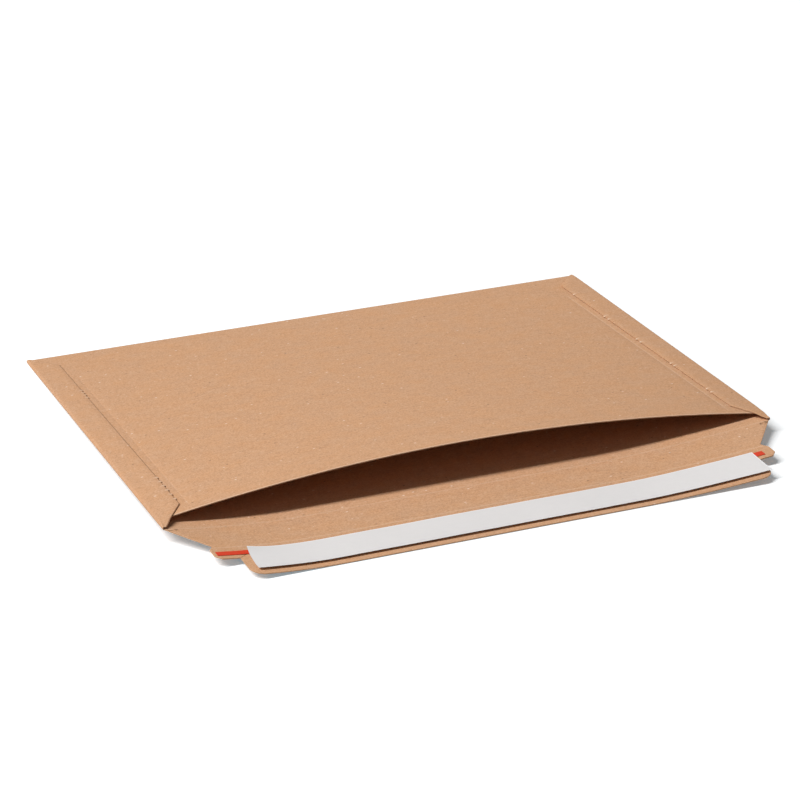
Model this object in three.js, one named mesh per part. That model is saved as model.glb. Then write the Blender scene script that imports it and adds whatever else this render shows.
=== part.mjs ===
// Cardboard mailer envelope, lying open on its back panel.
//
// One die-cut sheet of solid board is folded into the pouch: the back panel, the closure flap
// at its mouth, the two side flaps, and the front panel that turns over at the far fold. A tear
// strip, an adhesive band and its release liner lie on the closure flap, and a line of glue
// holds each side flap down on the front panel.
//
// Every piece is drawn on the flat blank as across (+X) and along (+Y, from the closure crease
// towards the far fold, then on round it), and foldedPoint bends the blank into the open pouch.

import * as THREE from 'three';

// The sheet, in millimetres
const boardThickness = 0.8;
const layerGap = 0.2; // air between two layers that lie on each other
const pouchWidth = 400; // over the side folds
const pouchDepth = 285; // from the closure crease to the far fold

// Front panel
const frontInset = 8.3; // from the closure crease back to the edge of the mouth
const frontSideGap = 2.2; // from the outside of a side fold to the panel's own edge

// Side flaps
const flapWidth = 17.8; // from the side fold to the flap's inner edge
const flapMouthSlope = 19.5; // length of the slanted edge, along the fold, at the mouth
const flapFarSlope = 19; // the same at the far fold
const flapTip = 1; // width left at both ends
const cornerRelief = 1; // from the far fold to the end of the side folds

// Closure flap, with an ear at each end of the tear strip
const closureDepth = 65;
const outerWidth = 334.5; // of the part beyond the ears
const outerCornerRadius = 8;
const earWidth = 363; // over both ears
const earSideStart = 30.5; // all ear sizes are distances from the closure crease
const earSideEnd = 38.5;
const earEnd = 42.4;
const earEndWidth = 356;
const earNotch = 0.3; // from the end of an ear to the notch that parts it from the outer part
const shoulderWidth = 357;
const shoulderStart = 25.5;

// Creases pressed into the inner face
const creaseDepth = 0.25;
const creaseHalfWidth = 0.8;
const creaseSideGap = 12; // from the outside of a side fold to the end of the closure crease
const foldOverLine = 28; // second crease of the closure flap

// The form that the open pouch has taken
const sideLift = 8.1; // rise of the side folds at the mouth
const frontBulge = 17.6; // rise of the mouth's edge above the side folds
const leftForm = { beddedShare: 0.56, power: 1.87, endLift: 8.6 };
const rightForm = { beddedShare: 0.41, power: 1.52, endLift: 7 };

// Tear strip, adhesive and release liner, as distances from the closure crease
const tapeThickness = 0.15;
const tape = { start: 34.2, end: 39.2, left: 179.6, right: 174.5 };
const adhesive = { start: 42.5, end: 57.5, left: 156, right: 162 };
const linerThickness = 0.15;
const liner = { start: 33.8, end: 60.8, left: 161.7, right: 168 };
const linerOuterCurl = 1; // rise of its outer edge above its middle
const linerInnerCurl = 0.3; // the same of the edge near the tear strip
const linerCornerLift = 1.6; // further rise of the left end of that edge
const linerLiftLength = 26;
const linerFlatShare = 0.45; // share of its width, in the middle, that stays flat

// Glue under the side flaps
const seamThickness = 0.2;
const seamWidth = 8;
const seamFromFold = 6.5;
const seamEndGap = 5; // from the start of a slanted edge to the end of the glue

// Grid of the folded sheet
const columnStep = 20;
const innerColumns = 8; // columns on each side of the middle that keep one place in all rows
const edgeColumns = 3;
const bendSteps = 6;
const cornerSteps = 4;
const panelSteps = 6;
const flapColumns = 2;
const difference = 0.02; // step for the slopes of the folded sheet

// Layers stacked at a side fold, measured between the middles of the boards
const frontStack = boardThickness + layerGap;
const flapStack = boardThickness + 2 * layerGap + seamThickness;
const sideRadius = (frontStack + flapStack) / 2;
const farRadius = frontStack / 2;
const sideBendStart = pouchWidth / 2 - boardThickness / 2 - sideRadius;
const sideBendLength = Math.PI * sideRadius;
const farBendStart = pouchDepth - boardThickness / 2 - farRadius;
const farBendLength = Math.PI * farRadius;
const frontHalf = pouchWidth / 2 - frontSideGap;

// Place on the blank of a depth on the front panel
const alongFront = (depth) => farBendStart + farBendLength + (farBendStart - depth);

// Height of the back panel and the closure flap, at the middle of the board
function backHeight(x, depth) {
  const form = x < 0 ? leftForm : rightForm;
  const half = pouchWidth / 2;
  const share = (Math.abs(x) / half - form.beddedShare) / (1 - form.beddedShare);
  const sideHeight = depth >= 0
    ? sideLift * (1 - depth / pouchDepth)
    : sideLift - (form.endLift - sideLift) * (depth / closureDepth);
  return boardThickness / 2 + sideHeight * Math.max(0, share) ** form.power;
}

// Height of the front panel, at the middle of the board
function frontHeight(x, depth) {
  const open = 1 - depth / pouchDepth;
  const share = x / (pouchWidth / 2);
  return boardThickness / 2 + frontStack + open * (sideLift + frontBulge * (1 - share * share));
}

const flapHeight = (x, depth) => frontHeight(x, depth) + flapStack;

// Point at share t round a fold from one level to another: [distance outwards, height]
function bendPoint(start, radius, low, lowSlope, high, highSlope, t) {
  const reach = (4 / 3) * radius;
  const curve = new THREE.CubicBezierCurve(
    new THREE.Vector2(start, low),
    new THREE.Vector2(start + reach, low + reach * lowSlope),
    new THREE.Vector2(start + reach, high + reach * highSlope),
    new THREE.Vector2(start, high),
  );
  return curve.getPoint(t);
}

function sideFoldPoint(across, depth) {
  const side = Math.sign(across);
  const past = Math.abs(across) - sideBendStart;
  if (past > sideBendLength) {
    const x = side * (sideBendStart - (past - sideBendLength));
    return new THREE.Vector3(x, depth, flapHeight(x, depth));
  }
  const x = side * sideBendStart;
  const before = side * (sideBendStart - difference);
  const low = backHeight(x, depth);
  const high = flapHeight(x, depth);
  const lowSlope = (low - backHeight(before, depth)) / difference;
  const highSlope = (high - flapHeight(before, depth)) / difference;
  const point = bendPoint(sideBendStart, sideRadius, low, lowSlope, high, highSlope, past / sideBendLength);
  return new THREE.Vector3(side * point.x, depth, point.y);
}

function farFoldPoint(across, along) {
  const past = along - farBendStart;
  if (past > farBendLength) {
    const depth = farBendStart - (past - farBendLength);
    return new THREE.Vector3(across, depth, frontHeight(across, depth));
  }
  const before = farBendStart - difference;
  const low = backHeight(across, farBendStart);
  const high = frontHeight(across, farBendStart);
  const lowSlope = (low - backHeight(across, before)) / difference;
  const highSlope = (high - frontHeight(across, before)) / difference;
  const point = bendPoint(farBendStart, farRadius, low, lowSlope, high, highSlope, past / farBendLength);
  return new THREE.Vector3(across, point.x, point.y);
}

// Where a place on the blank's middle surface comes to lie
function middlePoint(across, along) {
  if (Math.abs(across) > sideBendStart) return sideFoldPoint(across, along);
  if (along > farBendStart) return farFoldPoint(across, along);
  return new THREE.Vector3(across, along, backHeight(across, along));
}

// The same, raised by a height towards the inner face
function foldedPoint(across, along, height) {
  const acrossStep = middlePoint(across + difference, along).sub(middlePoint(across - difference, along));
  const alongStep = middlePoint(across, along + difference).sub(middlePoint(across, along - difference));
  const inwards = acrossStep.cross(alongStep).normalize();
  return middlePoint(across, along).addScaledVector(inwards, height);
}

// Closed solid over patches of the blank. A patch is a list of rows of [across, along], patches
// share the points where they meet, and the two faces are heights as functions of the place.
function foldedSolid(patches, outerFace, innerFace) {
  const numbers = new Map();
  const places = [];
  const numberOf = ([across, along]) => {
    const key = `${across.toFixed(4)} ${along.toFixed(4)}`;
    if (!numbers.has(key)) {
      numbers.set(key, places.length);
      places.push([across, along]);
    }
    return numbers.get(key);
  };

  const upper = [];
  for (const rows of patches) {
    for (let i = 0; i + 1 < rows.length; i += 1) {
      for (let j = 0; j + 1 < rows[i].length; j += 1) {
        const a = numberOf(rows[i][j]);
        const b = numberOf(rows[i][j + 1]);
        const c = numberOf(rows[i + 1][j + 1]);
        const d = numberOf(rows[i + 1][j]);
        upper.push([a, b, c], [a, c, d]);
      }
    }
  }

  const positions = [];
  for (const face of [outerFace, innerFace]) {
    for (const [across, along] of places) {
      positions.push(...foldedPoint(across, along, face(across, along)).toArray());
    }
  }

  const count = places.length;
  const edges = new Set(upper.flatMap(([a, b, c]) => [`${a} ${b}`, `${b} ${c}`, `${c} ${a}`]));
  const indices = [];
  for (const [a, b, c] of upper) {
    indices.push(a + count, b + count, c + count, c, b, a);
    for (const [from, to] of [[a, b], [b, c], [c, a]]) {
      if (!edges.has(`${to} ${from}`)) {
        indices.push(to + count, from + count, from, to + count, from, to);
      }
    }
  }

  const geometry = new THREE.BufferGeometry();
  geometry.setAttribute('position', new THREE.Float32BufferAttribute(positions, 3));
  geometry.setIndex(indices);
  geometry.computeVertexNormals();
  return geometry;
}

// Evenly spaced values, both ends included
function spread(from, to, steps) {
  return Array.from({ length: steps + 1 }, (_, i) => from + ((to - from) * i) / steps);
}

// Columns of a row that reaches out to the given half width on both sides
function boardRow(half, along) {
  const fixed = innerColumns * columnStep;
  const inner = spread(-fixed, fixed, 2 * innerColumns);
  const outer = spread(fixed, half, edgeColumns).slice(1);
  const columns = [...outer.map((across) => -across).reverse(), ...inner, ...outer];
  return columns.map((across) => [across, along]);
}

function closureRows() {
  const rows = [];
  for (const angle of spread(0, Math.PI / 2, cornerSteps)) {
    const cut = outerCornerRadius * (1 - Math.sin(angle));
    const back = outerCornerRadius * (1 - Math.cos(angle));
    rows.push(boardRow(outerWidth / 2 - cut, back - closureDepth));
  }
  rows.push(boardRow(outerWidth / 2, -(earEnd + earNotch)));
  rows.push(boardRow(earEndWidth / 2, -earEnd));
  rows.push(boardRow(earWidth / 2, -earSideEnd));
  rows.push(boardRow(earWidth / 2, -earSideStart));

  const shoulder = (distance) => THREE.MathUtils.mapLinear(
    distance, earSideStart, shoulderStart, earWidth / 2, shoulderWidth / 2);
  for (const offset of [creaseHalfWidth, 0, -creaseHalfWidth]) {
    const distance = foldOverLine + offset;
    rows.push(boardRow(shoulder(distance), -distance));
  }

  const neck = (distance) => THREE.MathUtils.mapLinear(
    distance, shoulderStart, 0, shoulderWidth / 2, sideBendStart);
  for (const distance of [...spread(shoulderStart, creaseHalfWidth, 3), 0]) {
    rows.push(boardRow(neck(distance), -distance));
  }
  return rows;
}

// Depths of the rows that the back panel shares with the side flaps
function sideDepths() {
  const flapStart = flapMouthSlope;
  const flapEnd = pouchDepth - flapFarSlope;
  return [0, creaseHalfWidth, ...spread(flapStart, flapEnd, panelSteps), pouchDepth - cornerRelief];
}

function middleRows() {
  const rows = closureRows();
  for (const depth of sideDepths().slice(1)) {
    rows.push(boardRow(sideBendStart, depth));
  }
  for (const along of spread(farBendStart, farBendStart + farBendLength, bendSteps)) {
    rows.push(boardRow(frontHalf, along));
  }
  for (const depth of spread(farBendStart, frontInset, panelSteps).slice(1)) {
    rows.push(boardRow(frontHalf, alongFront(depth)));
  }
  return rows;
}

// Width of a side flap beyond its fold, which narrows at both ends
function flapReach(depth) {
  const full = flapWidth - (pouchWidth / 2 - sideBendStart);
  const mouthShare = depth / flapMouthSlope;
  const farShare = (pouchDepth - cornerRelief - depth) / (flapFarSlope - cornerRelief);
  return THREE.MathUtils.lerp(flapTip, full, Math.min(1, mouthShare, farShare));
}

function sideRows(side) {
  return sideDepths().map((depth) => {
    const bend = spread(sideBendStart, sideBendStart + sideBendLength, bendSteps);
    const end = sideBendStart + sideBendLength;
    const flap = spread(end, end + flapReach(depth), flapColumns).slice(1);
    const row = [...bend, ...flap].map((across) => [side * across, depth]);
    return side > 0 ? row : row.reverse();
  });
}

// Depth of the pressed creases at a place on the blank
function creaseAt(across, along) {
  const press = (line) => creaseDepth * Math.max(0, 1 - Math.abs(along + line) / creaseHalfWidth);
  const closure = Math.abs(across) < pouchWidth / 2 - creaseSideGap ? press(0) : 0;
  return closure + press(foldOverLine);
}

function mailerBoard() {
  const half = boardThickness / 2;
  const patches = [middleRows(), sideRows(1), sideRows(-1)];
  return foldedSolid(patches, () => -half, (across, along) => half - creaseAt(across, along));
}

// Columns of a band on the closure flap, on the board's own columns between its ends
function bandColumns(left, right) {
  const fixed = spread(-innerColumns * columnStep, innerColumns * columnStep, 2 * innerColumns);
  return [-left, ...fixed.filter((across) => across > -left && across < right), right];
}

function band(size, rowSteps, bottom, top) {
  const rows = spread(-size.end, -size.start, rowSteps)
    .map((along) => bandColumns(size.left, size.right).map((across) => [across, along]));
  return foldedSolid([rows], bottom, top);
}

function tearStrip() {
  const bottom = boardThickness / 2 + layerGap;
  return band(tape, 1, () => bottom, () => bottom + tapeThickness);
}

function adhesiveBand() {
  const bottom = boardThickness / 2 + layerGap;
  return band(adhesive, 1, () => bottom, () => bottom + tapeThickness);
}

function releaseLiner() {
  const bottom = boardThickness / 2 + 2 * layerGap + tapeThickness;
  const middle = -(liner.start + liner.end) / 2;
  const halfWidth = (liner.end - liner.start) / 2;
  const edgeRise = (across, along) => {
    if (along < middle) return linerOuterCurl;
    const fromEnd = Math.max(0, 1 - (across + liner.left) / linerLiftLength);
    return linerInnerCurl + linerCornerLift * fromEnd ** 2;
  };
  const curl = (across, along) => {
    const share = Math.abs(along - middle) / halfWidth;
    const cup = Math.max(0, (share - linerFlatShare) / (1 - linerFlatShare)) ** 2;
    return edgeRise(across, along) * cup;
  };
  const face = (height) => (across, along) => height + curl(across, along);
  return band(liner, 8, face(bottom), face(bottom + linerThickness));
}

// Line of glue on the outer face of the front panel, under a side flap
function sideSeam(side) {
  const outer = side * (pouchWidth / 2 - seamFromFold);
  const inner = side * (pouchWidth / 2 - seamFromFold - seamWidth);
  const far = pouchDepth - flapFarSlope - seamEndGap;
  const near = flapMouthSlope + seamEndGap;
  const across = [Math.min(inner, outer), Math.max(inner, outer)];
  const rows = spread(far, near, panelSteps).map((depth) => across.map((x) => [x, alongFront(depth)]));
  const face = boardThickness / 2 + layerGap;
  return foldedSolid([rows], () => -(face + seamThickness), () => -face);
}

const boardFinish = new THREE.MeshStandardMaterial({ color: 0xc79e78, roughness: 0.85, metalness: 0 });
const tapeFinish = new THREE.MeshStandardMaterial({ color: 0xd63e1e, roughness: 0.35, metalness: 0 });
const adhesiveFinish = new THREE.MeshStandardMaterial({ color: 0xe9e2cf, roughness: 0.3, metalness: 0 });
const linerFinish = new THREE.MeshStandardMaterial({ color: 0xe4e1e0, roughness: 0.5, metalness: 0 });
const seamFinish = new THREE.MeshStandardMaterial({ color: 0xcdb48c, roughness: 0.4, metalness: 0 });

function piece(name, geometry, material) {
  const mesh = new THREE.Mesh(geometry, material);
  mesh.name = name;
  return mesh;
}

const mailer = new THREE.Group();
mailer.name = 'mailer_envelope';
mailer.add(
  piece('mailer_board', mailerBoard(), boardFinish),
  piece('tear_strip', tearStrip(), tapeFinish),
  piece('adhesive_band', adhesiveBand(), adhesiveFinish),
  piece('release_liner', releaseLiner(), linerFinish),
  piece('side_seam_left', sideSeam(-1), seamFinish),
  piece('side_seam_right', sideSeam(1), seamFinish),
);

// The origin is under the middle of the whole outline, on the surface that carries the mailer
mailer.position.y = (closureDepth - pouchDepth) / 2;

export default mailer;
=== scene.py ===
import math

import bpy
import numpy as np
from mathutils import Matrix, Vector


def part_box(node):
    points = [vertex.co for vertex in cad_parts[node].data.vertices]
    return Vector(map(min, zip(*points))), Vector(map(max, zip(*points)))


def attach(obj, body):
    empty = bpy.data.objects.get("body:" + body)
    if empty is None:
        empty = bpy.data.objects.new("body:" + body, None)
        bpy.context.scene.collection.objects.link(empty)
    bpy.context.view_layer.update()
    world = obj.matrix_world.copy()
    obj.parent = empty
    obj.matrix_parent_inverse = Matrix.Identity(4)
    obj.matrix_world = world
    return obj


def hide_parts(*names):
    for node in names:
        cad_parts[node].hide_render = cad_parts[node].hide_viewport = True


# Mailer envelope of brown board, open on a white table.
# The blank is drawn flat and bent into the open pouch, so every piece on it is one folded mesh.

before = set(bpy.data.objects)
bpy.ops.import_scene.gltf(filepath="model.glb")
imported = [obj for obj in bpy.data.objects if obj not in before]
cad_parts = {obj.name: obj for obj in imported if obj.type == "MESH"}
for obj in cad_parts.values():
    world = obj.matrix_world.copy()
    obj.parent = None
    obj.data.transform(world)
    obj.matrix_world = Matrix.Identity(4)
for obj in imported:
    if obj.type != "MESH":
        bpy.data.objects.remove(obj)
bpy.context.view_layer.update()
boardLow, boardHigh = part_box("mailer_board")
mm = 0.001
print("frame loaded")


# The folded sheet in millimetres, with zero at the closure crease until the mesh is made
sheet = {
    "thickness": 0.8,
    "gap": 0.2,
    "seam": 0.2,
    "width": (boardHigh.x - boardLow.x) / mm,
    "depth": 285,
    "closure": 65,
    "frontInset": 9.3,
    "frontSkew": -0.004,   # slant of the mouth's edge
    "frontSideGap": 2.2,
    "sideLift": 8.1,       # rise of the side folds at the mouth
    "frontBulge": 17.6,    # rise of the mouth's edge above them
    "leftFlat": 0.56,      # share of each half that lies on the table
    "rightFlat": 0.41,
    "leftPower": 1.87,
    "rightPower": 1.52,
    "leftEnd": 8.6,        # rise of the closure flap's ends
    "rightEnd": 7.0,
    "slack": 0.12,         # how far the front panel sags between its high spots
    "sagLengths": (47, 61, 29, 38),
}

frontStack = sheet["thickness"] + sheet["gap"]
flapStack = sheet["thickness"] + 2 * sheet["gap"] + sheet["seam"]
sideRadius = (frontStack + flapStack) / 2
farRadius = frontStack / 2
sideStart = sheet["width"] / 2 - sheet["thickness"] / 2 - sideRadius
sideLength = math.pi * sideRadius
farStart = sheet["depth"] - sheet["thickness"] / 2 - farRadius
farLength = math.pi * farRadius
frontHalf = sheet["width"] / 2 - sheet["frontSideGap"]
smallStep = 0.02


def alongFront(depth):  # place on the blank of a depth on the front panel
    return 2 * farStart + farLength - depth


def backHeight(x, depth):
    half = sheet["width"] / 2
    flat = np.where(x < 0, sheet["leftFlat"], sheet["rightFlat"])
    power = np.where(x < 0, sheet["leftPower"], sheet["rightPower"])
    end = np.where(x < 0, sheet["leftEnd"], sheet["rightEnd"])
    lift = sheet["sideLift"]
    onPouch = lift * (1 - depth / sheet["depth"])
    onClosure = lift - (end - lift) * depth / sheet["closure"]
    side = np.where(depth >= 0, onPouch, onClosure)
    share = np.clip((np.abs(x) / half - flat) / (1 - flat), 0, None)
    return sheet["thickness"] / 2 + side * share ** power


def frontSag(x, depth):  # shallow dips of a board that has been handled, none at the folds
    share = x / (sheet["width"] / 2)
    fade = np.clip(1 - share ** 2, 0, 1) * np.clip(1 - depth / sheet["depth"], 0, 1)
    a, b, c, d = sheet["sagLengths"]
    wave = np.sin(x / a + 0.6) * np.sin(depth / b + 1.1) + 0.6 * np.sin(x / c - depth / d)
    return sheet["slack"] * fade * (0.5 + wave / 3.2)


def frontHeight(x, depth):
    opened = 1 - depth / sheet["depth"]
    share = x / (sheet["width"] / 2)
    rise = sheet["sideLift"] + sheet["frontBulge"] * (1 - share ** 2)
    return sheet["thickness"] / 2 + frontStack + opened * rise - frontSag(x, depth)


def flapHeight(x, depth):
    return frontHeight(x, depth) + flapStack


def bendPoint(start, radius, low, lowSlope, high, highSlope, t):  # half a turn, from low to high
    reach = 4 / 3 * radius
    first, last = 3 * t * (1 - t) ** 2, 3 * t ** 2 * (1 - t)
    outwards = start + reach * (first + last)
    upwards = low * (1 - t) ** 3 + (low + reach * lowSlope) * first
    upwards += (high + reach * highSlope) * last + high * t ** 3
    return outwards, upwards


def middlePoint(across, along):  # where a place on the blank's middle surface comes to lie
    side = np.where(across < 0, -1.0, 1.0)
    pastFar = along - farStart
    pastSide = np.abs(across) - sideStart
    x, y = across, along
    z = backHeight(x, y)

    depth = np.where(pastFar > farLength, farStart - (pastFar - farLength), along)
    low, high = backHeight(x, farStart), frontHeight(x, farStart)
    lowSlope = (low - backHeight(x, farStart - smallStep)) / smallStep
    highSlope = (high - frontHeight(x, farStart - smallStep)) / smallStep
    turn = np.clip(pastFar / farLength, 0, 1)
    out, up = bendPoint(farStart, farRadius, low, lowSlope, high, highSlope, turn)
    y = np.where(pastFar > farLength, depth, np.where(pastFar > 0, out, y))
    z = np.where(pastFar > farLength, frontHeight(x, depth), np.where(pastFar > 0, up, z))

    edge, before = side * sideStart, side * (sideStart - smallStep)
    low, high = backHeight(edge, along), flapHeight(edge, along)
    lowSlope = (low - backHeight(before, along)) / smallStep
    highSlope = (high - flapHeight(before, along)) / smallStep
    turn = np.clip(pastSide / sideLength, 0, 1)
    out, up = bendPoint(sideStart, sideRadius, low, lowSlope, high, highSlope, turn)
    onFlap = side * (sideStart - (pastSide - sideLength))
    x = np.where(pastSide > sideLength, onFlap, np.where(pastSide > 0, side * out, x))
    z = np.where(pastSide > sideLength, flapHeight(onFlap, along), np.where(pastSide > 0, up, z))
    return np.stack([x, y, z], -1)


def foldedPoint(across, along, height):  # height counts towards the inner face
    acrossStep = middlePoint(across + smallStep, along) - middlePoint(across - smallStep, along)
    alongStep = middlePoint(across, along + smallStep) - middlePoint(across, along - smallStep)
    inwards = np.cross(acrossStep, alongStep)
    inwards /= np.linalg.norm(inwards, axis=-1, keepdims=True)
    return middlePoint(across, along) + inwards * height[..., None]


# Mesh of a folded piece. A patch is a grid of places on the blank with a mask of its cells,
# patches meet at shared places, and both faces are heights worked out from the place.
def foldedMesh(name, patches, outerFace, innerFace, rimDrop, tint=None):
    flat = np.concatenate([grid.reshape(-1, 2) for grid, keep in patches])
    places, numbers = np.unique(np.round(flat, 4), axis=0, return_inverse=True)
    numbers = numbers.reshape(-1)
    faces, start = [], 0
    for grid, keep in patches:
        rows, columns = grid.shape[:2]
        number = numbers[start:start + rows * columns].reshape(rows, columns)
        start += rows * columns
        cells = np.stack([number[:-1, :-1], number[:-1, 1:], number[1:, 1:], number[1:, :-1]], -1)
        faces += [list(dict.fromkeys(cell)) for cell in cells[keep].tolist()]
    faces = [face for face in faces if len(face) > 2]

    edges = {(a, b) for face in faces for a, b in zip(face, face[1:] + face[:1])}
    rimEdges = [(a, b) for a, b in edges if (b, a) not in edges]
    rim = np.zeros(len(places))
    rim[[a for a, b in rimEdges]] = 1
    across, along = places[:, 0], places[:, 1]
    outer = foldedPoint(across, along, outerFace(across, along) + rimDrop * rim)
    inner = foldedPoint(across, along, innerFace(across, along) - rimDrop * rim)
    points = np.concatenate([outer, inner])
    points[:, 1] -= (sheet["depth"] - sheet["closure"]) / 2

    count = len(places)
    walls = [[b + count, a + count, a, b] for a, b in sorted(rimEdges)]
    skins = [[n + count for n in face] for face in faces] + [face[::-1] for face in faces]
    mesh = bpy.data.meshes.new(name)
    mesh.from_pydata((points * mm).tolist(), [], skins + walls)
    mesh.polygons.foreach_set("material_index", [0] * len(skins) + [1] * len(walls))
    mesh.polygons.foreach_set("use_smooth", [True] * len(mesh.polygons))
    mesh.set_sharp_from_angle(angle=math.radians(40))
    if tint:
        values = np.tile(np.clip(tint(across, along), -1, 1), 2)
        mesh.attributes.new("tint", "FLOAT", "POINT").data.foreach_set("value", values)
    piece = bpy.data.objects.new(name, mesh)
    bpy.context.scene.collection.objects.link(piece)
    return piece


def spread(first, last, step):  # even values about a step apart, both ends included
    return np.linspace(first, last, max(1, round(abs(last - first) / step)) + 1)


def allCells(grid):
    return np.ones((grid.shape[0] - 1, grid.shape[1] - 1), bool)


# Outline of the blank
board = {
    "columnStep": 4.5,
    "rowStep": 6,
    "fineStep": 1.6,
    "rim": 0.3,              # width of the softened edge
    "rimDrop": 0.13,
    "wornShares": (1, 0.6),  # columns on the worn brink of a side flap
    "mouthRows": (1, 0.6),   # rows beside the mouth's edge
    "fixedColumns": 153,     # half width over which columns keep their place
    "outerHalf": 167.25,
    "outerCorner": 8,
    "earHalf": 181.5,
    "earSideStart": 30.5,
    "earSideEnd": 38.5,
    "earEnd": 42.4,
    "earEndHalf": 178,
    "earNotch": 0.3,
    "shoulderHalf": 178.5,
    "shoulderStart": 25.5,
    "slitEnd": (162, 38.4),  # inner end of the cut that starts in the notch
    "slitWidth": 0.45,
    "creaseDepth": 0.25,
    "creaseHalfWidth": 0.9,
    "creaseEnd": 188,
    "foldOverLine": 28,
    "foldOverDepth": 0.15,
    "flapWidth": 17.8,
    "flapMouthSlope": 20.3,
    "flapFarSlope": 19,
    "flapTip": 1,
    "cornerRelief": 1,
    "bendCells": 12,
    "flapCells": 6,
    "scoreLine": 177.4,      # faint line on the front panel, beside the side flaps
    "scoreDepth": 0.16,
    "scoreHalfWidth": 0.8,
    "scoreStart": 12,        # as depths, with the length over which each end fades in
    "scoreStartFade": 8,
    "scoreEnd": 248,
    "scoreEndFade": 12,
    # depths at which the die left small tabs on the inner edges of the side flaps
    "leftTabs": [216, 211.5, 207.5, 203, 62, 55.5, 49, 42, 35, 28],
    "rightTabs": [246, 198, 192, 150, 144, 101, 96, 51.5, 45.5],
    "tabReach": 0.6,
    "tabHalfWidth": 1.0,
    "tabFlat": 0.5,
    "pressWidth": 3.2,       # the inner edge of a side flap is pressed down on the front panel
    "pressDepth": 0.36,
    "worn": 0.7,             # width of its rounded brink
    "wornDepth": 0.3,
    "tipLength": 11,         # its ends lie lower, as no panel is under them
    "mouthTipStart": 8.4,
    "mouthTipEnd": 0.8,
    "mouthTipDrop": 1.08,
    "mouthTipPinch": 0.45,   # and are crushed thinner
    "farTipDrop": 0.8,
}


def closureHalf(distance):  # half width of the closure flap at a distance from the crease
    d = board
    corner = np.clip(distance - (sheet["closure"] - d["outerCorner"]), 0, d["outerCorner"])
    cut = d["outerCorner"] - np.sqrt(d["outerCorner"] ** 2 - corner ** 2)
    corners = [
        (0, sideStart),
        (d["shoulderStart"], d["shoulderHalf"]),
        (d["earSideStart"], d["earHalf"]),
        (d["earSideEnd"], d["earHalf"]),
        (d["earEnd"], d["earEndHalf"]),
        (d["earEnd"] + d["earNotch"], d["outerHalf"]),
    ]
    return np.interp(distance, *zip(*corners)) - cut


def slitCentre(distance):
    endX, endAt = board["slitEnd"]
    notchAt = board["earEnd"] + board["earNotch"]
    start = board["outerHalf"] - board["slitWidth"] / 2
    return np.interp(distance, [endAt, notchAt], [endX, start])


def boardColumns(half, distance):  # distance is counted from the crease out over the closure flap
    fixed = np.arange(0, board["fixedColumns"] + 1, board["columnStep"])
    slit = min(slitCentre(distance), half - board["slitWidth"] / 2)
    sides = slit + np.array([-0.5, 0.5]) * board["slitWidth"]
    toSlit = np.linspace(fixed[-1], sides[0], 3)[1:-1]
    rimAt = max(half - board["rim"], sides[1])
    score = board["scoreLine"] + board["scoreHalfWidth"] * np.linspace(-1, 1, 5)
    toScore = np.linspace(sides[1], score[0], 4)[1:-1]
    fromScore = np.linspace(score[-1], rimAt, 5)[1:]
    toRim = np.concatenate([toScore, score, fromScore])
    if rimAt < score[-1] + 1:
        toRim = np.linspace(sides[1], rimAt, len(toRim) + 1)[1:]
    right = np.concatenate([fixed, toSlit, sides, toRim, [half]])
    return np.concatenate([-right[:0:-1], right])


def slitCells(columns):  # the two cells of a row that the slits take
    fixed = round(board["fixedColumns"] / board["columnStep"])
    right = (columns - 1) // 2 + fixed + 2
    return [right, columns - 2 - right]


def withTabs(depths):
    tabs = np.array(board["leftTabs"] + board["rightTabs"])
    offsets = [-board["tabHalfWidth"], -board["tabFlat"], board["tabFlat"], board["tabHalfWidth"]]
    edges = np.concatenate([tabs + offset for offset in offsets])
    near = np.abs(depths[:, None] - edges).min(axis=1)
    return np.unique(np.round(np.concatenate([depths[near > 1], edges]), 4))


def sideDepths():
    start, end = board["flapMouthSlope"], sheet["depth"] - board["flapFarSlope"]
    last = sheet["depth"] - board["cornerRelief"]
    near, far = spread(1, start, 2)[:-1], spread(end, last, 2)[1:-1]
    inner = np.concatenate([near, spread(start, end, board["rowStep"]), far])
    ends = [0, board["rim"], last - board["rim"], last]
    return np.unique(np.concatenate([ends, withTabs(inner)]))


def closureDistances():
    d = board
    notch = d["earEnd"] + d["earNotch"]
    angles = np.linspace(0, math.pi / 2, 9)
    corner = sheet["closure"] - d["outerCorner"] * (1 - np.cos(angles))
    lines, shares = (0, d["foldOverLine"]), (-1, -0.5, 0, 0.5, 1)
    grooves = [line + d["creaseHalfWidth"] * share for line in lines for share in shares]
    ear = [notch, d["earEnd"], d["slitEnd"][1], d["earSideEnd"], d["earSideStart"]]
    marks = [sheet["closure"] - d["rim"], *ear, d["shoulderStart"]]
    beyondEars, ears = spread(corner[-1], notch, 2)[1:-1], spread(d["earEnd"], 2, d["fineStep"])[1:]
    fill = np.concatenate([beyondEars, ears])
    hard = np.concatenate([corner, marks, [g for g in grooves if g >= 0]])
    clear = np.abs(fill[:, None] - hard).min(axis=1) > 0.5
    return np.unique(np.round(np.concatenate([hard, fill[clear]]), 4))[::-1]


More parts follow.
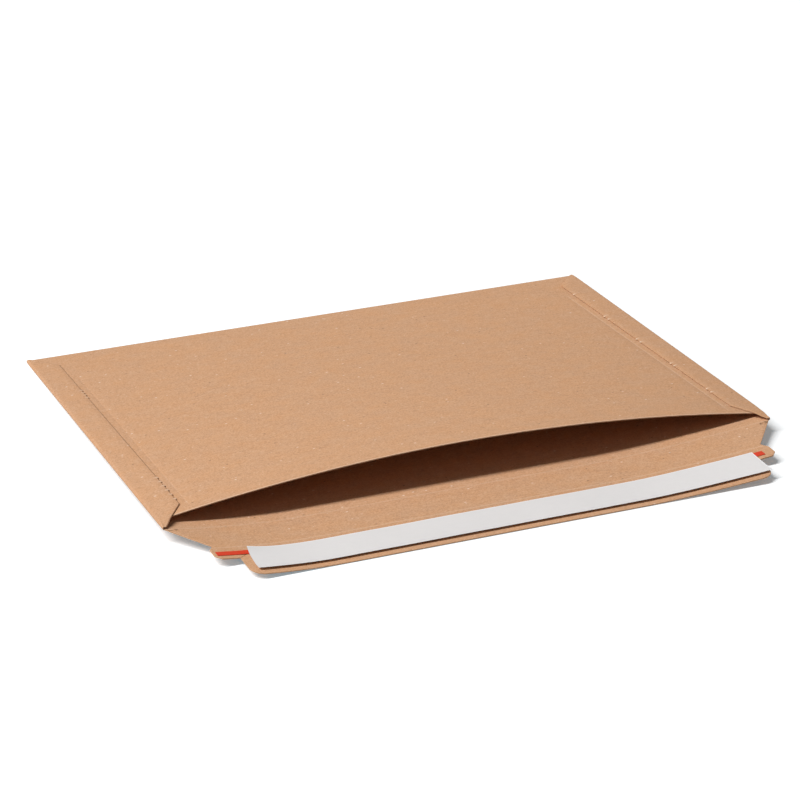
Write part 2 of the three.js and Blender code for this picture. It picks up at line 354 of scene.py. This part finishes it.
def middlePatch():
    rows, slitRows = [], []
    for distance in closureDistances():
        half = float(closureHalf(distance))
        rows.append([(a, -distance) for a in boardColumns(half, distance)])
        slitRows.append(board["slitEnd"][1] <= distance <= board["earEnd"] + board["earNotch"])
    for depth in sideDepths()[1:]:
        rows.append([(a, depth) for a in boardColumns(sideStart, 0)])
    for along in np.linspace(farStart, farStart + farLength, board["bendCells"] + 1):
        rows.append([(a, along) for a in boardColumns(frontHalf, 0)])
    inset = sheet["frontInset"]
    ends = [inset + row for row in (*board["mouthRows"], board["rim"], 0)]
    for depth in [*spread(farStart, inset + 4, board["rowStep"])[1:], *ends]:
        slant = sheet["frontSkew"] * (depth < inset + 2)
        rows.append([(a, alongFront(depth + slant * a)) for a in boardColumns(frontHalf, 0)])
    grid = np.array(rows)
    keep = allCells(grid)
    for i in range(len(slitRows) - 1):
        if slitRows[i] and slitRows[i + 1]:
            keep[i, slitCells(grid.shape[1] - 1)] = False
    return grid, keep


def tabShare(depth, side):
    d = board
    tabs = np.array(d["rightTabs"] if side > 0 else d["leftTabs"])
    near = np.abs(np.asarray(depth)[..., None] - tabs).min(axis=-1)
    return np.clip((d["tabHalfWidth"] - near) / (d["tabHalfWidth"] - d["tabFlat"]), 0, 1)


def flapEdge(depth, side):  # place on the blank of a side flap's inner edge
    d = board
    full = d["flapWidth"] - (sheet["width"] / 2 - sideStart)
    last = sheet["depth"] - d["cornerRelief"]
    fromFar = (last - depth) / (d["flapFarSlope"] - d["cornerRelief"])
    share = np.minimum(depth / d["flapMouthSlope"], fromFar)
    reach = d["flapTip"] + (full - d["flapTip"]) * np.clip(share, 0, 1)
    return sideStart + sideLength + reach + d["tabReach"] * tabShare(depth, side)


def sidePatch(side):
    bend = np.linspace(sideStart, sideStart + sideLength, board["bendCells"] + 1)
    rows = []
    for depth in sideDepths():
        end = float(flapEdge(depth, side))
        worn = [board["worn"] * share for share in board["wornShares"]]
        brink = end - np.array([*worn, board["rim"], 0])
        inner = np.linspace(bend[-1], max(brink[0], bend[-1]), board["flapCells"] + 1)[1:]
        row = [(side * a, depth) for a in [*bend, *inner, *np.maximum(brink[1:], bend[-1] + 0.05)]]
        rows.append(row if side > 0 else row[::-1])
    grid = np.array(rows)
    return grid, allCells(grid)


def fromBrink(across, along):  # distance from the inner edge of a side flap, huge off the flaps
    edge = np.where(across > 0, flapEdge(along, 1), flapEdge(along, -1))
    onFlap = np.abs(across) > sideStart + sideLength + 0.01
    return np.where(onFlap, edge - np.abs(across), 1e6)


def turnShare(across):  # 0 on the back panel, 1 past a side fold
    return np.clip((np.abs(across) - sideStart) / sideLength, 0, 1)


def eased(share):
    return share * share * (3 - 2 * share)


def groove(offset, halfWidth, depth):
    return depth * eased(np.clip(1 - np.abs(offset) / halfWidth, 0, 1))


def flapPress(across, along):  # how far a side flap is pushed down
    d = board
    share = np.clip(1 - fromBrink(across, along) / d["pressWidth"], 0, 1)
    turned = turnShare(across) ** 2
    toMouth = np.clip(1 - along / d["tipLength"], 0, 1) * (along >= 0)
    toFar = np.clip(1 - (sheet["depth"] - along) / d["tipLength"], 0, 1) * (along < sheet["depth"])
    tipReach = d["mouthTipStart"] - d["mouthTipEnd"]
    closed = np.clip((d["mouthTipStart"] - along) / tipReach, 0, 1) * (along >= 0)
    tips = d["mouthTipDrop"] * eased(closed) + d["farTipDrop"] * toFar ** 3
    edge = d["pressDepth"] * eased(share) * (1 - np.maximum(toMouth, toFar))
    return edge + turned * tips


def boardInner(across, along):
    d = board
    closure = groove(along, d["creaseHalfWidth"], d["creaseDepth"])
    closure = closure * (np.abs(across) < d["creaseEnd"])
    second = groove(along + d["foldOverLine"], d["creaseHalfWidth"], d["foldOverDepth"])
    return sheet["thickness"] / 2 - closure - second + flapPress(across, along)


def boardOuter(across, along):
    d = board
    onFront = along > farStart + farLength
    front = alongFront(along)
    ends = np.clip((front - d["scoreStart"]) / d["scoreStartFade"], 0, 1)
    ends *= np.clip((d["scoreEnd"] - front) / d["scoreEndFade"], 0, 1)
    score = ends * groove(np.abs(across) - d["scoreLine"], d["scoreHalfWidth"], d["scoreDepth"])
    brink = np.clip(1 - fromBrink(across, along) / d["worn"], 0, 1) ** 2
    turned = turnShare(across)
    toMouth = np.clip(1 - along / d["flapMouthSlope"], 0, 1) * (along >= 0)
    worn = d["wornDepth"] * brink + d["mouthTipPinch"] * turned * toMouth
    return -sheet["thickness"] / 2 + score * onFront + flapPress(across, along) + worn


# Where the board is painted paler or darker than its own tone. First the paler places, as shares of
# the pale tone: painted highlights along the mouth's edge and the faint score lines, and paler
# lines along the creases
boardTintShares = {
    # painted highlight along the mouth's edge
    "mouthHighlightWidth": 0.95,
    "mouth": 0.6,
    "scoreStart": 14,      # depths between which the faint lines on the front panel show
    "rightScoreEnd": 243,
    "leftScoreEnd": 62,
    # painted highlight along the faint score lines, stronger on the right
    "rightScoreHighlight": 0.33,
    "leftScoreHighlight": 0.15,
    "crease": 0.3,
    "foldOver": 0.35,
    # and where it is darker, as shares of the deep tone: painted shade over the side folds, and
    # painted shade and shadow along the inner edges of the side flaps
    "sideFoldShade": 0.5,
    # painted shade and shadow along the inner edges of the side flaps, stronger on the left
    "rightBrinkShade": 0.2,
    "leftBrinkShade": 0.7,
}


def boardTint(across, along):  # 1 where the board is palest and -1 where it is darkest: pale tabs and creases, painted highlights, painted shade and painted shadow
    d, c = board, boardTintShares
    right = across > 0
    front = alongFront(along)
    # painted highlight along the mouth's edge
    edge = sheet["frontInset"] + c["mouthHighlightWidth"]
    mouth = np.where(along + sheet["frontSkew"] * across > alongFront(edge), c["mouth"], 0)
    # painted highlight along the faint score lines, stronger on the right
    scoreEnd = np.where(right, c["rightScoreEnd"], c["leftScoreEnd"])
    seen = (along > farStart + farLength) * ((front > c["scoreStart"]) & (front < scoreEnd))
    score = np.where(right, c["rightScoreHighlight"], c["leftScoreHighlight"]) * seen
    score = score * groove(np.abs(across) - d["scoreLine"], d["scoreHalfWidth"], 1)
    creases = c["crease"] * groove(along, d["creaseHalfWidth"], 1)
    creases += c["foldOver"] * groove(along + d["foldOverLine"], d["creaseHalfWidth"], 1)
    away = fromBrink(across, along)
    tabs = np.where(right, tabShare(along, 1), tabShare(along, -1))
    tabs = tabs * np.clip(1.4 - away * 1.1, 0, 1)
    # painted shade and shadow along the inner edges of the side flaps, stronger on the left
    brink = np.where(right, c["rightBrinkShade"], c["leftBrinkShade"])
    brink = brink * np.clip(1.6 * (1 - away / d["worn"]), 0, 1)
    turned = turnShare(across)
    # painted shade over the arcs of the side folds, against their highlight
    folds = c["sideFoldShade"] * turned * (1 - turned) * (along >= 0)
    return mouth + score + creases - folds + np.where(tabs > 0.1, tabs, -brink)


def makeBoard():
    patches = [middlePatch(), sidePatch(1), sidePatch(-1)]
    return foldedMesh("folded_board", patches, boardOuter, boardInner, board["rimDrop"], boardTint)


# Strips on the closure flap, as distances from its crease
strips = {
    "tape": {
        "start": 34.2, "end": 39.2, "left": 179.7, "right": 174.5,
        "slant": 0.0, "rim": 0.15, "rowStep": 1,
    },
    "adhesive": {
        "start": 42.5, "end": 57.5, "left": 156, "right": 162,
        "slant": 0.0, "rim": 0.15, "rowStep": 3,
    },
    "liner": {
        "start": 33.8, "end": 60.8, "left": 161.7, "right": 168,
        "slant": 2.2, "rim": 0.9, "rowStep": 1.2,
    },
    "thickness": 0.15,
    "rimDrop": 0.02,
    "columnStep": 4,
}
linerForm = {
    "outerCurl": 1.0,     # rise of the outer edge above the middle
    "innerCurl": 0.2,
    "cornerLift": 1.75,   # further rise of the left corner of the inner edge
    "liftLength": 24,
    "flatShare": 0.25,
    "ripple": 0.15,
    "rippleLengths": (13, 31),
}


def stripPatch(size):
    rim = size["rim"]
    inner = spread(-size["end"] + rim, -size["start"] - rim, size["rowStep"])
    count = round((size["left"] + size["right"]) / strips["columnStep"]) + 1
    rows = []
    for along in [-size["end"], *inner, -size["start"]]:
        share = (along + (size["start"] + size["end"]) / 2) / (size["end"] - size["start"])
        slide = size["slant"] * share
        left, right = -size["left"] + slide, size["right"]
        columns = [left, *np.linspace(left + rim, right - rim, count), right]
        rows.append([(across, along) for across in columns])
    grid = np.array(rows)
    return grid, allCells(grid)


def linerRise(across, along):
    size, f = strips["liner"], linerForm
    middle, half = -(size["start"] + size["end"]) / 2, (size["end"] - size["start"]) / 2
    share = np.abs(along - middle) / half
    cup = np.clip((share - f["flatShare"]) / (1 - f["flatShare"]), 0, None) ** 2
    fromLeft = np.clip(1 - (across + size["left"]) / f["liftLength"], 0, 1) ** 2
    edge = np.where(along < middle, f["outerCurl"], f["innerCurl"] + f["cornerLift"] * fromLeft)
    short, long = f["rippleLengths"]
    wave = 0.5 + 0.5 * np.sin(across / short + 0.8) * np.sin(across / long)
    return cup * (edge + f["ripple"] * wave)


def rimHighlight(size):  # 1 on the rim of a strip, which the liner shows as a painted highlight
    def tint(across, along):
        sides = np.minimum(-along - size["start"], size["end"] + along)
        left = across + size["left"] + size["slant"] / 2
        return (sides < 0.01) | (size["right"] - across < 0.01) | (left < 0.01)
    return tint


def makeStrip(name, size, base, rise):
    bottom = sheet["thickness"] / 2 + base
    return foldedMesh(
        name,
        [stripPatch(size)],
        lambda across, along: bottom + rise(across, along),
        lambda across, along: bottom + strips["thickness"] + rise(across, along),
        strips["rimDrop"],
        rimHighlight(size),
    )


def flatRise(across, along):
    return np.zeros_like(across)


# Glue between the side flaps and the front panel
seam = {
    "width": 8,
    "fromFold": 6.5,
    "endGap": 5,
    "rowStep": 3,
    "columns": 6,
    "rimDrop": 0.05,
    "swells": [(0.08, 1.4), (0.05, 7.3)],  # share of the width and length of each wave
}


def makeSeam(name, side):
    outer = sheet["width"] / 2 - seam["fromFold"]
    far = sheet["depth"] - board["flapFarSlope"] - seam["endGap"]
    near = board["flapMouthSlope"] + seam["endGap"]
    rows = []
    for depth in spread(far, near, seam["rowStep"]):
        swell = 1 + sum(share * math.sin(depth / length) for share, length in seam["swells"])
        columns = np.linspace(outer - seam["width"] * swell, outer, seam["columns"])
        ordered = columns if side > 0 else columns[::-1]
        rows.append([(side * a, alongFront(depth)) for a in ordered])
    grid = np.array(rows)
    face = sheet["thickness"] / 2 + sheet["gap"]
    return foldedMesh(
        name,
        [(grid, allCells(grid))],
        lambda across, along: np.full_like(across, -(face + sheet["seam"])),
        lambda across, along: np.full_like(across, -face),
        seam["rimDrop"],
    )


# Shader sockets that take part in Python arithmetic
class Wire:
    def __init__(self, graph, socket):
        self.graph = graph
        self.socket = socket

    def combine(self, operation, *values):
        return self.graph.add("ShaderNodeMath", {"operation": operation}, list(values))

    def __add__(self, other):
        return self.combine("ADD", self, other)

    def __radd__(self, other):
        return self.combine("ADD", other, self)

    def __sub__(self, other):
        return self.combine("SUBTRACT", self, other)

    def __rsub__(self, other):
        return self.combine("SUBTRACT", other, self)

    def __mul__(self, other):
        return self.combine("MULTIPLY", self, other)

    def __rmul__(self, other):
        return self.combine("MULTIPLY", other, self)

    def __truediv__(self, other):
        return self.combine("DIVIDE", self, other)

    def __gt__(self, other):
        return self.combine("GREATER_THAN", self, other)

    def clamped(self):
        return self.graph.add("ShaderNodeClamp", {}, [self, 0.0, 1.0])

    def size(self):
        return self.combine("ABSOLUTE", self)


class Graph:
    def __init__(self, holder):
        holder.use_nodes = True
        self.tree = holder.node_tree
        self.tree.nodes.clear()

    def add(self, kind, settings=None, inputs=None, output=0):
        node = self.tree.nodes.new(kind)
        for key, value in (settings or {}).items():
            setattr(node, key, value)
        pairs = enumerate(inputs) if isinstance(inputs, list) else (inputs or {}).items()
        for key, value in pairs:
            if isinstance(value, Wire):
                self.tree.links.new(value.socket, node.inputs[key])
            elif value is not None:
                node.inputs[key].default_value = value
        return Wire(self, node.outputs[output]) if len(node.outputs) else node

    def place(self, scale=(1, 1, 1)):
        spot = self.add("ShaderNodeTexCoord", output="Object")
        return self.add("ShaderNodeVectorMath", {"operation": "MULTIPLY"}, [spot, scale])

    def noise(self, vector, scale, detail=2.0, roughness=0.5):
        inputs = {"Vector": vector, "Scale": scale, "Detail": detail, "Roughness": roughness}
        return self.add("ShaderNodeTexNoise", {}, inputs)

    def blend(self, factor, first, second):
        a, b = [value if isinstance(value, Wire) else (*value, 1) for value in (first, second)]
        return self.add("ShaderNodeMix", {"data_type": "RGBA"}, {0: factor, 6: a, 7: b}, output=2)

    def split(self, vector):
        node = self.add("ShaderNodeSeparateXYZ", {}, [vector]).socket.node
        return [Wire(self, socket) for socket in node.outputs]

    def bump(self, height, distance, strength):
        inputs = {"Height": height, "Distance": distance, "Strength": strength}
        return self.add("ShaderNodeBump", {}, inputs)

    def tint(self):  # what foldedMesh keeps at each point of a piece
        return self.add("ShaderNodeAttribute", {"attribute_name": "tint"}, output="Fac")

    def finish(self, inputs):
        surface = self.add("ShaderNodeBsdfPrincipled", {}, inputs)
        self.add("ShaderNodeOutputMaterial", {}, {"Surface": surface})


def newMaterial(name):
    material = bpy.data.materials.new(name)
    return material, Graph(material)


# Brown board: fine pressed fibres in two close tones, with a few pale and dark flecks
kraft = {
    "body": (0.596, 0.342, 0.197),
    "warm": (0.625, 0.338, 0.176),
    "deep": (0.16, 0.075, 0.035),
    "pale": (0.82, 0.62, 0.46),
    "fibre": (0.88, 0.72, 0.58),
    "plyDeep": (0.44, 0.25, 0.14),
    "plyPale": (0.62, 0.38, 0.23),
    "grain": 0.8,          # contrast of the fibres
    "roughness": 0.84,
    "flecks": [            # tone, scale, radius, share of the cells, strength
        ("fibre", 230, 0.13, 0.24, 1.0),
        ("pale", 390, 0.16, 0.14, 0.8),
        ("deep", 260, 0.14, 0.12, 0.9),
    ],
    "wrinkleFrom": 0.1905,  # painted shade of small wrinkles at both ends of the closure crease, in metres
    "wrinkleAt": -0.1118,
    "wrinkleReach": 0.0022,
}


def kraftGrain(g):
    fine = g.noise(g.place((0.45, 1, 1)), 1700, 1.0, 0.5)
    crossed = g.noise(g.place((1, 0.4, 1)), 1500, 1.0, 0.5)
    cloud = g.noise(g.place(), 420, 2.0, 0.6)
    streaks = g.noise(g.place((0.13, 1, 1)), 560, 2.0, 0.6)
    return (fine - 0.5) + (crossed - 0.5) * 0.7 + (cloud - 0.5) * 0.3 + (streaks - 0.5) * 0.33


def kraftFlecks(g, scale, radius, share):
    cells = g.add("ShaderNodeTexVoronoi", {}, {"Vector": g.place((0.55, 1, 1)), "Scale": scale})
    node = cells.socket.node
    reach = Wire(g, node.outputs["Distance"])
    chance = g.split(Wire(g, node.outputs["Color"]))[0]
    return (1.4 * (1 - reach / radius)).clamped() * (chance > (1 - share))


def kraftColour(g, grain):
    hue = ((g.noise(g.place((0.7, 1, 1)), 90, 3.0, 0.6) - 0.5) * 2.4 + 0.5).clamped()
    colour = g.blend(hue, kraft["body"], kraft["warm"])
    lighter, darker = (grain * kraft["grain"]).clamped(), (grain * -kraft["grain"]).clamped()
    colour = g.blend(lighter, colour, kraft["pale"])
    colour = g.blend(darker, colour, kraft["deep"])
    for tone, scale, radius, share, strength in kraft["flecks"]:
        colour = g.blend(kraftFlecks(g, scale, radius, share) * strength, colour, kraft[tone])
    return colour


# painted shade in small wrinkles at both ends of the closure crease
def kraftWrinkleShade(g):
    x, y, z = g.split(g.place())
    along = (1 - (y - kraft["wrinkleAt"]).size() / kraft["wrinkleReach"]).clamped()
    ends = (x.size() > kraft["wrinkleFrom"]) * along
    wrinkles = ((g.noise(g.place((0.45, 1, 1)), 900, 1.0, 0.5) - 0.5) * 12).clamped()
    return (ends * 1.5).clamped() * wrinkles


def kraftBoard():
    material, g = newMaterial("kraft_board")
    grain = kraftGrain(g)
    colour = kraftColour(g, grain)
    tint = g.tint()
    # the tint paints the highlights, pale tabs and creases in the pale tone, and the painted shade
    # and shadow in the deep tone
    colour = g.blend(tint.clamped() * 0.8, colour, kraft["pale"])
    colour = g.blend((-1 * tint).clamped() * 0.85, colour, kraft["deep"])
    colour = g.blend(kraftWrinkleShade(g) * 0.8, colour, kraft["deep"])
    g.finish({
        "Base Color": colour,
        "Roughness": kraft["roughness"] + grain * 0.1,
        "Specular IOR Level": 0.25,
        "Normal": g.bump(grain, 0.00008, 0.35),
    })
    return material


def kraftEdge():  # the cut edge shows the grey-brown plies
    material, g = newMaterial("kraft_cut_edge")
    grain = kraftGrain(g)
    plies = g.noise(g.place((0.2, 0.2, 3)), 900, 1.0, 0.4)
    share = (0.5 + grain * 0.5 + (plies - 0.5)).clamped()
    colour = g.blend(share, kraft["plyDeep"], kraft["plyPale"])
    g.finish({
        "Base Color": colour,
        "Roughness": 0.9,
        "Specular IOR Level": 0.2,
        "Normal": g.bump(grain, 0.0002, 0.5),
    })
    return material


tapeLook = {"red": (0.60, 0.030, 0.006), "worn": (0.70, 0.060, 0.018), "roughness": 0.5}


def tearTape():
    material, g = newMaterial("tear_tape_red")
    strands = g.noise(g.place((0.03, 1, 1)), 2400, 1.0, 0.5)
    cloud = g.noise(g.place(), 180, 2.0, 0.6)
    colour = g.blend((strands * 0.6 + cloud * 0.4).clamped(), tapeLook["red"], tapeLook["worn"])
    g.finish({
        "Base Color": colour,
        "Roughness": tapeLook["roughness"] + cloud * 0.1,
        "Specular IOR Level": 0.2,
        "Normal": g.bump(strands, 0.00006, 0.4),
    })
    return material


linerLook = {
    "white": (0.785, 0.762, 0.752),
    "shade": (0.71, 0.694, 0.688),
    # painted highlight on the liner's curled edges
    "rim": (0.93, 0.93, 0.95),
    "roughness": 0.5,
}


def linerPaper():
    material, g = newMaterial("release_liner_white")
    cloud = g.noise(g.place((1, 1.4, 1)), 240, 3.0, 0.6)
    broad = g.noise(g.place(), 24, 2.0, 0.5)
    colour = g.blend((cloud * 0.5 + broad * 0.5).clamped(), linerLook["shade"], linerLook["white"])
    tint = g.tint()
    # painted highlight along the liner's curled edges
    colour = g.blend(tint.clamped(), colour, linerLook["rim"])
    g.finish({
        "Base Color": colour,
        "Roughness": linerLook["roughness"] + (broad - 0.5) * 0.15,
        "Specular IOR Level": 0.45,
        "Normal": g.bump(cloud, 0.00006, 0.35),
    })
    return material


bandLook = {"thin": (0.80, 0.74, 0.60), "thick": (0.86, 0.82, 0.72), "scale": 260}
seamLook = {"thin": (0.50, 0.34, 0.17), "thick": (0.66, 0.50, 0.30), "scale": 200}


def adhesiveGlue(name, look):
    material, g = newMaterial(name)
    cloud = g.noise(g.place((1, 2.2, 1)), look["scale"], 3.0, 0.6)
    g.finish({
        "Base Color": g.blend(cloud, look["thin"], look["thick"]),
        "Roughness": 0.22 + cloud * 0.2,
        "Specular IOR Level": 0.5,
        "Normal": g.bump(cloud, 0.0001, 0.5),
    })
    return material


# Pieces and their finishes
tapeBase = sheet["gap"]
linerBase = 2 * sheet["gap"] + strips["thickness"]
boardSkin, boardCut = kraftBoard(), kraftEdge()
tapeSkin, linerSkin = tearTape(), linerPaper()
bandSkin = adhesiveGlue("adhesive_cream", bandLook)
seamSkin = adhesiveGlue("seam_glue_amber", seamLook)

wholeSheet = makeBoard()
tearStrip = makeStrip("red_tear_strip", strips["tape"], tapeBase, flatRise)
flapBand = makeStrip("flap_adhesive", strips["adhesive"], tapeBase, flatRise)
whiteLiner = makeStrip("white_liner", strips["liner"], linerBase, linerRise)
pieces = [
    (wholeSheet, "mailer_board", "board", [boardSkin, boardCut]),
    (tearStrip, "tear_strip", "tear_tape", [tapeSkin, tapeSkin]),
    (flapBand, "adhesive_band", "adhesive", [bandSkin, bandSkin]),
    (whiteLiner, "release_liner", "liner_paper", [linerSkin, linerSkin]),
    (makeSeam("glue_line_left", -1), "side_seam_left", "seam_glue", [seamSkin, seamSkin]),
    (makeSeam("glue_line_right", 1), "side_seam_right", "seam_glue", [seamSkin, seamSkin]),
]
for piece, node, slot, finishes in pieces:
    for finish in finishes:
        piece.data.materials.append(finish)
    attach(piece, "root")
    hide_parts(node)
    print(piece.name, len(piece.data.polygons), "faces")


# Table, light and camera
studio = {
    "floorSize": 12,
    "floorDrop": 0.0002,                 # how far it lies below the board
    "floorColour": 0.98,
    "floorGlow": (0.145, 0.165, 0.175),  # what the camera sees on top of the lit floor
    "farGlow": 0.06,                     # and more of it away from the object
    "coolGlow": (0.0, 0.06, 0.09),       # painted cool light on the floor at the left, against the warm light that the board throws there
    "coolShare": 0.6,                    # of it at the middle, and its fall per metre to the right
    "coolFall": 3.3,
    "skyLevel": 0.12,
    "keySize": (4.4, 0.94),              # a light box high on the left
    "keyAngle": -34,
    "keyDistance": 6.1,
    "keyPower": 413,
}


def seenDirectly(g):  # 1 for camera rays and reflections, 0 for the light on the object
    node = g.add("ShaderNodeLightPath").socket.node
    kinds = ("Is Camera Ray", "Is Glossy Ray", "Is Transmission Ray")
    camera, glossy, transmitted = [Wire(g, node.outputs[kind]) for kind in kinds]
    return (camera + glossy + transmitted).clamped()


def makeFloor():
    half, low = studio["floorSize"] / 2, -studio["floorDrop"]
    mesh = bpy.data.meshes.new("table")
    corners = [(-half, -half, low), (half, -half, low), (half, half, low), (-half, half, low)]
    mesh.from_pydata(corners, [], [(0, 1, 2, 3)])
    floor = bpy.data.objects.new("table", mesh)
    bpy.context.scene.collection.objects.link(floor)
    material, g = newMaterial("table_white")
    x, y, z = g.split(g.place())
    far = (x * x + y * y) * studio["farGlow"]
    seen = seenDirectly(g)
    left = (studio["coolShare"] - x * studio["coolFall"]).clamped()
    pairs = zip(studio["floorGlow"], studio["coolGlow"])
    parts = [far + part + left * cool for part, cool in pairs]
    glow = g.add("ShaderNodeCombineXYZ", {}, [seen * part for part in parts])
    shade = studio["floorColour"]
    g.finish({
        "Base Color": (shade, shade, shade, 1),
        "Roughness": 0.9,
        "Specular IOR Level": 0.0,
        "Emission Color": glow,
        "Emission Strength": 1.0,
    })
    mesh.materials.append(material)


def makeSky():
    world = bpy.data.worlds.new("studio")
    bpy.context.scene.world = world
    g = Graph(world)
    lighting = g.add("ShaderNodeBackground", {}, [(1, 1, 1, 1), studio["skyLevel"]])
    backdrop = g.add("ShaderNodeBackground", {}, [(1, 1, 1, 1), 1.0])
    surface = g.add("ShaderNodeMixShader", {}, [seenDirectly(g), lighting, backdrop])
    g.add("ShaderNodeOutputWorld", {}, {"Surface": surface})


def makeKey():
    lamp = bpy.data.lights.new("light_box", "AREA")
    lamp.shape = "RECTANGLE"
    lamp.size, lamp.size_y = studio["keySize"]
    lamp.energy = studio["keyPower"]
    key = bpy.data.objects.new("light_box", lamp)
    lean, reach = math.radians(studio["keyAngle"]), studio["keyDistance"]
    key.rotation_euler = (0, lean, 0)
    key.location = (reach * math.sin(lean), 0, reach * math.cos(lean))
    bpy.context.scene.collection.objects.link(key)


# Where the photograph was taken from, with its 800 pixel frame on a 36 mm sensor
view = {
    "azimuth": 22.64,      # degrees from +Y towards +X
    "elevation": 24.01,
    "distance": 1.8702,
    "target": (0.00501, 0.0247, 0),
    "focalPixels": 2914.2,
    "framePixels": 800,
    "sensor": 36,
}


def makeCamera():
    data = bpy.data.cameras.new("photo_view")
    data.sensor_width = view["sensor"]
    data.lens = view["focalPixels"] * view["sensor"] / view["framePixels"]
    data.clip_end = 50
    camera = bpy.data.objects.new("photo_view", data)
    azimuth, elevation = math.radians(view["azimuth"]), math.radians(view["elevation"])
    level = math.cos(elevation)
    ahead = Vector((math.sin(azimuth) * level, math.cos(azimuth) * level, -math.sin(elevation)))
    camera.location = Vector(view["target"]) - ahead * view["distance"]
    camera.rotation_euler = ahead.to_track_quat("-Z", "Y").to_euler()
    bpy.context.scene.collection.objects.link(camera)
    bpy.context.scene.camera = camera


makeFloor()
makeSky()
makeKey()
makeCamera()
bpy.context.scene.view_settings.view_transform = "Standard"
print("stage set")
